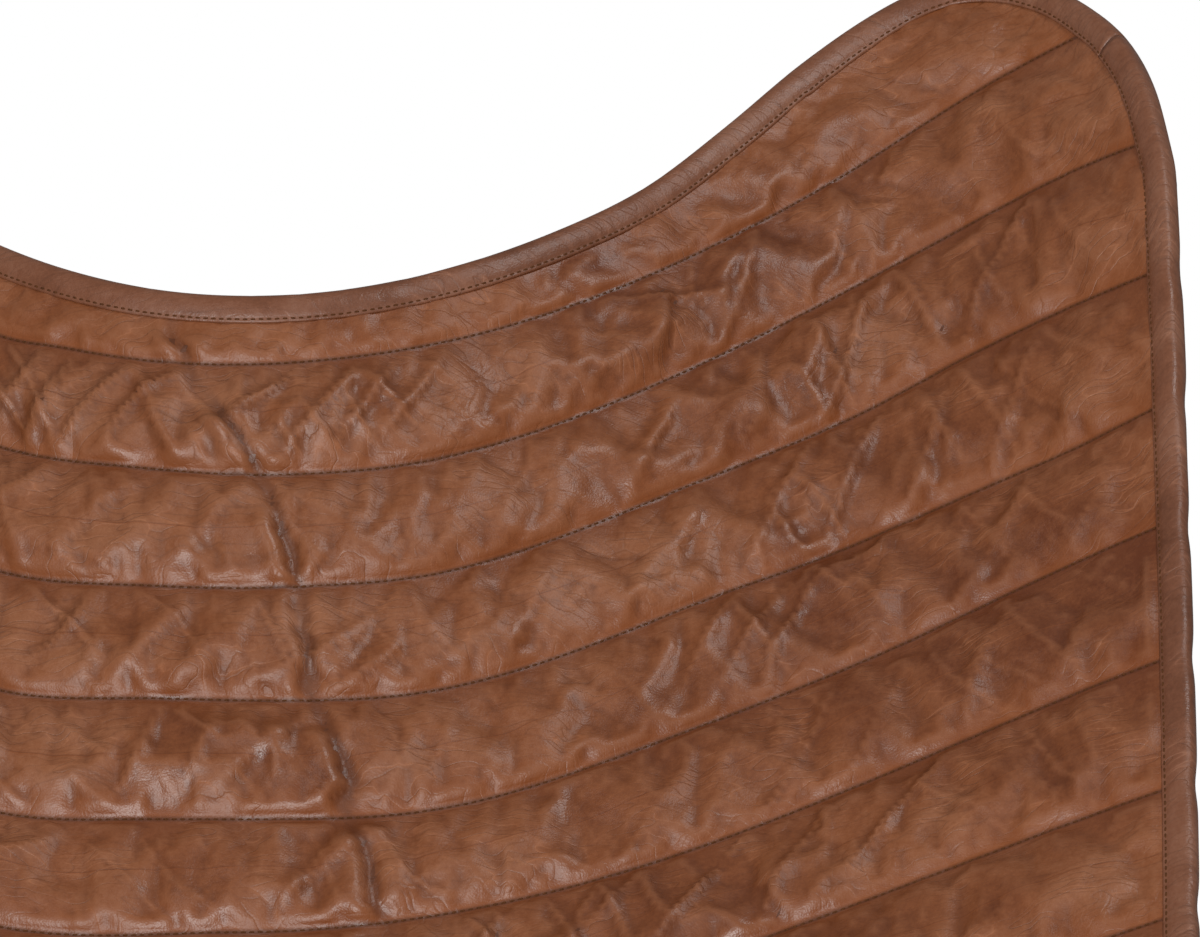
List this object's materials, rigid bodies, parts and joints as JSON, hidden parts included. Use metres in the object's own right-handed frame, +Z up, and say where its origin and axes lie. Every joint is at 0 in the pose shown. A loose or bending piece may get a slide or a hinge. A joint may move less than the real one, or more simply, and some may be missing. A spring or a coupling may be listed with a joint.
{
  "type": "butterfly sling chair",
  "caption": "Low lounge chair: a quilted leather sling with winged corners hangs by corner pockets on crossed rod loops that stand on floor glides.",
  "frame": {"origin": "on the floor, below the middle of the chair's overall box", "axes": "+Z up, the front of the chair towards -Y, +X to the right for someone who faces the chair"},
  "size_m": [0.8116, 0.8778, 0.896],
  "materials": {
    "frame_paint": "black powder coat, satin",
    "glide_plastic": "moulded, matt",
    "face_leather": "waxed pull-up leather, semi-gloss",
    "trim_leather": "waxed pull-up leather, semi-gloss",
    "lining_leather": "split leather, matt",
    "padding": "needled felt"
  },
  "bodies": {
    "root": {"frame_loop_a": "frame_paint", "frame_loop_b": "frame_paint", "weld_right": "frame_paint", "weld_back": "frame_paint", "weld_left": "frame_paint", "weld_front": "frame_paint", "glide_back_right": "glide_plastic", "glide_front_left": "glide_plastic", "glide_back_left": "glide_plastic", "glide_front_right": "glide_plastic", "sling_back_face": "face_leather", "sling_seat_face": "face_leather", "sling_back_padding": "padding", "sling_seat_padding": "padding", "sling_back_lining": "lining_leather", "sling_seat_lining": "lining_leather", "pocket_back_right": "lining_leather", "pocket_back_left": "lining_leather", "pocket_front_right": "lining_leather", "pocket_front_left": "lining_leather", "pocket_hem_back_right": "trim_leather", "pocket_hem_back_left": "trim_leather", "pocket_hem_front_right": "trim_leather", "pocket_hem_front_left": "trim_leather", "binding_back": "trim_leather", "binding_right": "trim_leather", "binding_front": "trim_leather", "binding_left": "trim_leather"}
  },
  "joints": []
}
